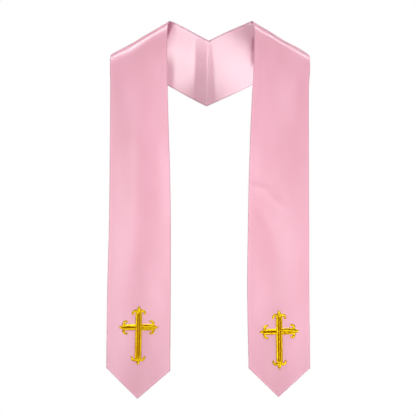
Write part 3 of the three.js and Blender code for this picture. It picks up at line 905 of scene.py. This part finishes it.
stitch_link(rule_in.outputs["Thread Radius"], section.inputs["Radius"])
stitch_link(section.outputs["Curve"], thread.inputs["Profile Curve"])
stitch_link(thread.outputs["Mesh"], smooth.inputs["Geometry"])
stitch_link(smooth.outputs["Geometry"], whole.inputs["Geometry"])
stitch_link(whole.outputs["Geometry"], dyed.inputs["Geometry"])
stitch_link(dyed.outputs["Geometry"], rule_out.inputs["Geometry"])


def embroider(name, half, seed):
    """One cross: the rule run over its columns, and its padding, joined in one plain mesh."""
    columns, paddings = cross_columns()
    spines = bpy.data.objects.new(f"{name}_spines", spine_mesh(f"{name}_spines", half, columns))
    bpy.context.scene.collection.objects.link(spines)
    rule = spines.modifiers.new("stitches", "NODES")
    rule.node_group = stitch_tree
    values = {"Spacing": 0.00040, "Thread Radius": 0.00023, "Slant": 0.06, "Unevenness": 0.03, "Seed": seed}
    for item in stitch_tree.interface.items_tree:
        if item.in_out == "INPUT" and item.name in values:
            rule[item.identifier] = values[item.name]
    evaluated = spines.evaluated_get(bpy.context.evaluated_depsgraph_get())
    sewn = bpy.data.meshes.new_from_object(evaluated)
    bpy.data.objects.remove(spines)
    both = bmesh.new()
    both.from_mesh(sewn)
    padding = padding_mesh(f"{name}_padding", half, paddings)
    both.from_mesh(padding)
    bmesh.ops.recalc_face_normals(both, faces=both.faces)
    both.to_mesh(sewn)
    both.free()
    bpy.data.meshes.remove(padding)
    sewn.shade_smooth()
    piece = bpy.data.objects.new(name, sewn)
    bpy.context.scene.collection.objects.link(piece)
    return piece


FIRST_CROSS_SEED = 3
for seed, half in enumerate(BANDS, start=FIRST_CROSS_SEED):
    cross = embroider(f"{half}_stitched_cross", half, seed)
    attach(cross, "root")
    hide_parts(f"{half}_cross")

# The floor of the studio: a plain, pale and matt disc, far enough below the points that the stole hangs
# clear of it.
FLOOR_DROP = 1.35
FLOOR_RADIUS = 3
FLOOR_SIDES = 96
floor_mesh = bpy.data.meshes.new("floor")
turns = np.linspace(0, 2 * math.pi, FLOOR_SIDES, endpoint=False)
ring = [(FLOOR_RADIUS * math.cos(turn), FLOOR_RADIUS * math.sin(turn), -FLOOR_DROP) for turn in turns]
floor_mesh.from_pydata(ring, [], [list(range(FLOOR_SIDES))])
floor = bpy.data.objects.new("floor", floor_mesh)
bpy.context.scene.collection.objects.link(floor)
floor_paint = bpy.data.materials.new("pale_floor")
floor_paint.use_nodes = True
floor_nodes = floor_paint.node_tree.nodes
floor_place = floor_nodes.new("ShaderNodeTexCoord")
floor_noise = floor_nodes.new("ShaderNodeTexNoise")
floor_noise.inputs["Scale"].default_value = 3
floor_tone = floor_nodes.new("ShaderNodeMapRange")
floor_tone.inputs["To Min"].default_value = 0.80
floor_tone.inputs["To Max"].default_value = 0.84
floor_link = floor_paint.node_tree.links.new
floor_link(floor_place.outputs["Object"], floor_noise.inputs["Vector"])
floor_link(floor_noise.outputs["Fac"], floor_tone.inputs["Value"])
floor_link(floor_tone.outputs["Result"], floor_nodes["Principled BSDF"].inputs["Base Color"])
floor_nodes["Principled BSDF"].inputs["Roughness"].default_value = 0.9
floor_nodes["Principled BSDF"].inputs["Emission Color"].default_value = (0.72, 0.72, 0.72, 1)
floor_seen = floor_nodes.new("ShaderNodeLightPath")
floor_link(floor_seen.outputs["Is Camera Ray"], floor_nodes["Principled BSDF"].inputs["Emission Strength"])
floor.data.materials.append(floor_paint)

# The light: a white studio. Soft lamps stand high on both sides, overhead, low at both sides of the bands, in
# front and behind, and three panels below the front light the lining, which faces down and forward.
world = bpy.context.scene.world or bpy.data.worlds.new("studio")
bpy.context.scene.world = world
world.use_nodes = True
world_nodes, world_link = world.node_tree.nodes, world.node_tree.links.new
around = world_nodes["Background"]
around.inputs["Color"].default_value = (0.09, 0.09, 0.09, 1)
seen = world_nodes.new("ShaderNodeBackground")
seen.inputs["Color"].default_value = (1, 1, 1, 1)
path = world_nodes.new("ShaderNodeLightPath")
either = world_nodes.new("ShaderNodeMixShader")
world_link(path.outputs["Is Camera Ray"], either.inputs["Fac"])
world_link(around.outputs["Background"], either.inputs[1])
world_link(seen.outputs["Background"], either.inputs[2])
world_link(either.outputs["Shader"], world_nodes["World Output"].inputs["Surface"])

LAMPS = [
    {"name": "left_softbox", "at": (-2.0, -1.9, 2.7), "facing": (0, -0.06, -0.4), "size": (0.9, 1.3),
     "spread": 50, "watts": 4.3},
    {"name": "right_softbox", "at": (2.0, -1.9, 2.7), "facing": (0, -0.06, -0.4), "size": (0.9, 1.3),
     "spread": 50, "watts": 3.3},
    {"name": "overhead_lamp", "at": (0, -0.3, 2.4), "facing": (0, -0.06, 0), "size": (1.6, 1.2), "spread": 60,
     "watts": 4.4},
    {"name": "left_lamp", "at": (-1.4, -0.55, -0.64), "facing": (-0.15, -0.1, -0.6), "size": (0.4, 0.9),
     "spread": 100, "watts": 0.5},
    {"name": "right_lamp", "at": (1.4, -0.55, -0.64), "facing": (0.15, -0.1, -0.6), "size": (0.4, 0.9),
     "spread": 100, "watts": 0.2},
    {"name": "front_lamp", "at": (-1.2, -3.3, -0.44), "facing": (0, -0.06, -0.48), "size": (0.6, 1.3),
     "spread": 80, "watts": 2.0},
    {"name": "front_top_lamp", "at": (-1.2, -3.3, 0.75), "facing": (0, -0.06, -0.2), "size": (0.6, 0.8),
     "spread": 80, "watts": 0.7},
    {"name": "low_left_panel", "at": (-0.64, -0.87, -0.76), "facing": (0, 0, -0.04), "size": (0.7, 1.2),
     "spread": 62, "watts": 1.36},
    {"name": "low_right_panel", "at": (0.68, -0.80, -0.79), "facing": (0, 0, -0.04), "size": (0.7, 1.3),
     "spread": 62, "watts": 1.58},
    {"name": "low_side_panel", "at": (1.05, -0.46, -1.02), "facing": (-0.05, 0, -0.05), "size": (0.7, 0.8),
     "spread": 60, "watts": 1.15},
    {"name": "back_lamp", "at": (0, 3.2, 0.3), "facing": (0, 0, -0.35), "size": (2.6, 2.2), "spread": 70,
     "watts": 10},
]
for lamp in LAMPS:
    light = bpy.data.lights.new(lamp["name"], "AREA")
    light.shape = "ELLIPSE"
    light.size, light.size_y = lamp["size"]
    light.spread = math.radians(lamp["spread"])
    light.energy = lamp["watts"]
    holder = bpy.data.objects.new(lamp["name"], light)
    holder.location = lamp["at"]
    holder.visible_camera = False
    beam = Vector(lamp["facing"]) - Vector(lamp["at"])
    holder.rotation_euler = beam.to_track_quat("-Z", "Y").to_euler()
    bpy.context.scene.collection.objects.link(holder)

# The camera: level, square to the front and far off. The photograph's scale and the pixels of its centre line
# and of the tops of the shoulder folds place it.
MM_PER_PIXEL = 2.02
FRAME_PIXELS = 416
CENTRE_X, FOLD_TOP_Y = 210.9, 20.95
SENSOR_WIDTH_MM = 36
CAMERA_DISTANCE = 5.0
fold_y = -NAPE[1]
fold_top = cad_box[1][2]
camera_data = bpy.data.cameras.new("camera")
camera_data.sensor_width = SENSOR_WIDTH_MM
camera_data.lens = SENSOR_WIDTH_MM * CAMERA_DISTANCE * 1000 / (FRAME_PIXELS * MM_PER_PIXEL)
camera_data.clip_end = 100
camera = bpy.data.objects.new("camera", camera_data)
camera.location = (
    (FRAME_PIXELS / 2 - CENTRE_X) * MM_PER_PIXEL / 1000,
    fold_y - CAMERA_DISTANCE,
    fold_top - (FRAME_PIXELS / 2 - FOLD_TOP_Y) * MM_PER_PIXEL / 1000,
)
camera.rotation_euler = (math.radians(90), 0, 0)
bpy.context.scene.collection.objects.link(camera)
bpy.context.scene.camera = camera
bpy.context.scene.view_settings.view_transform = "Standard"
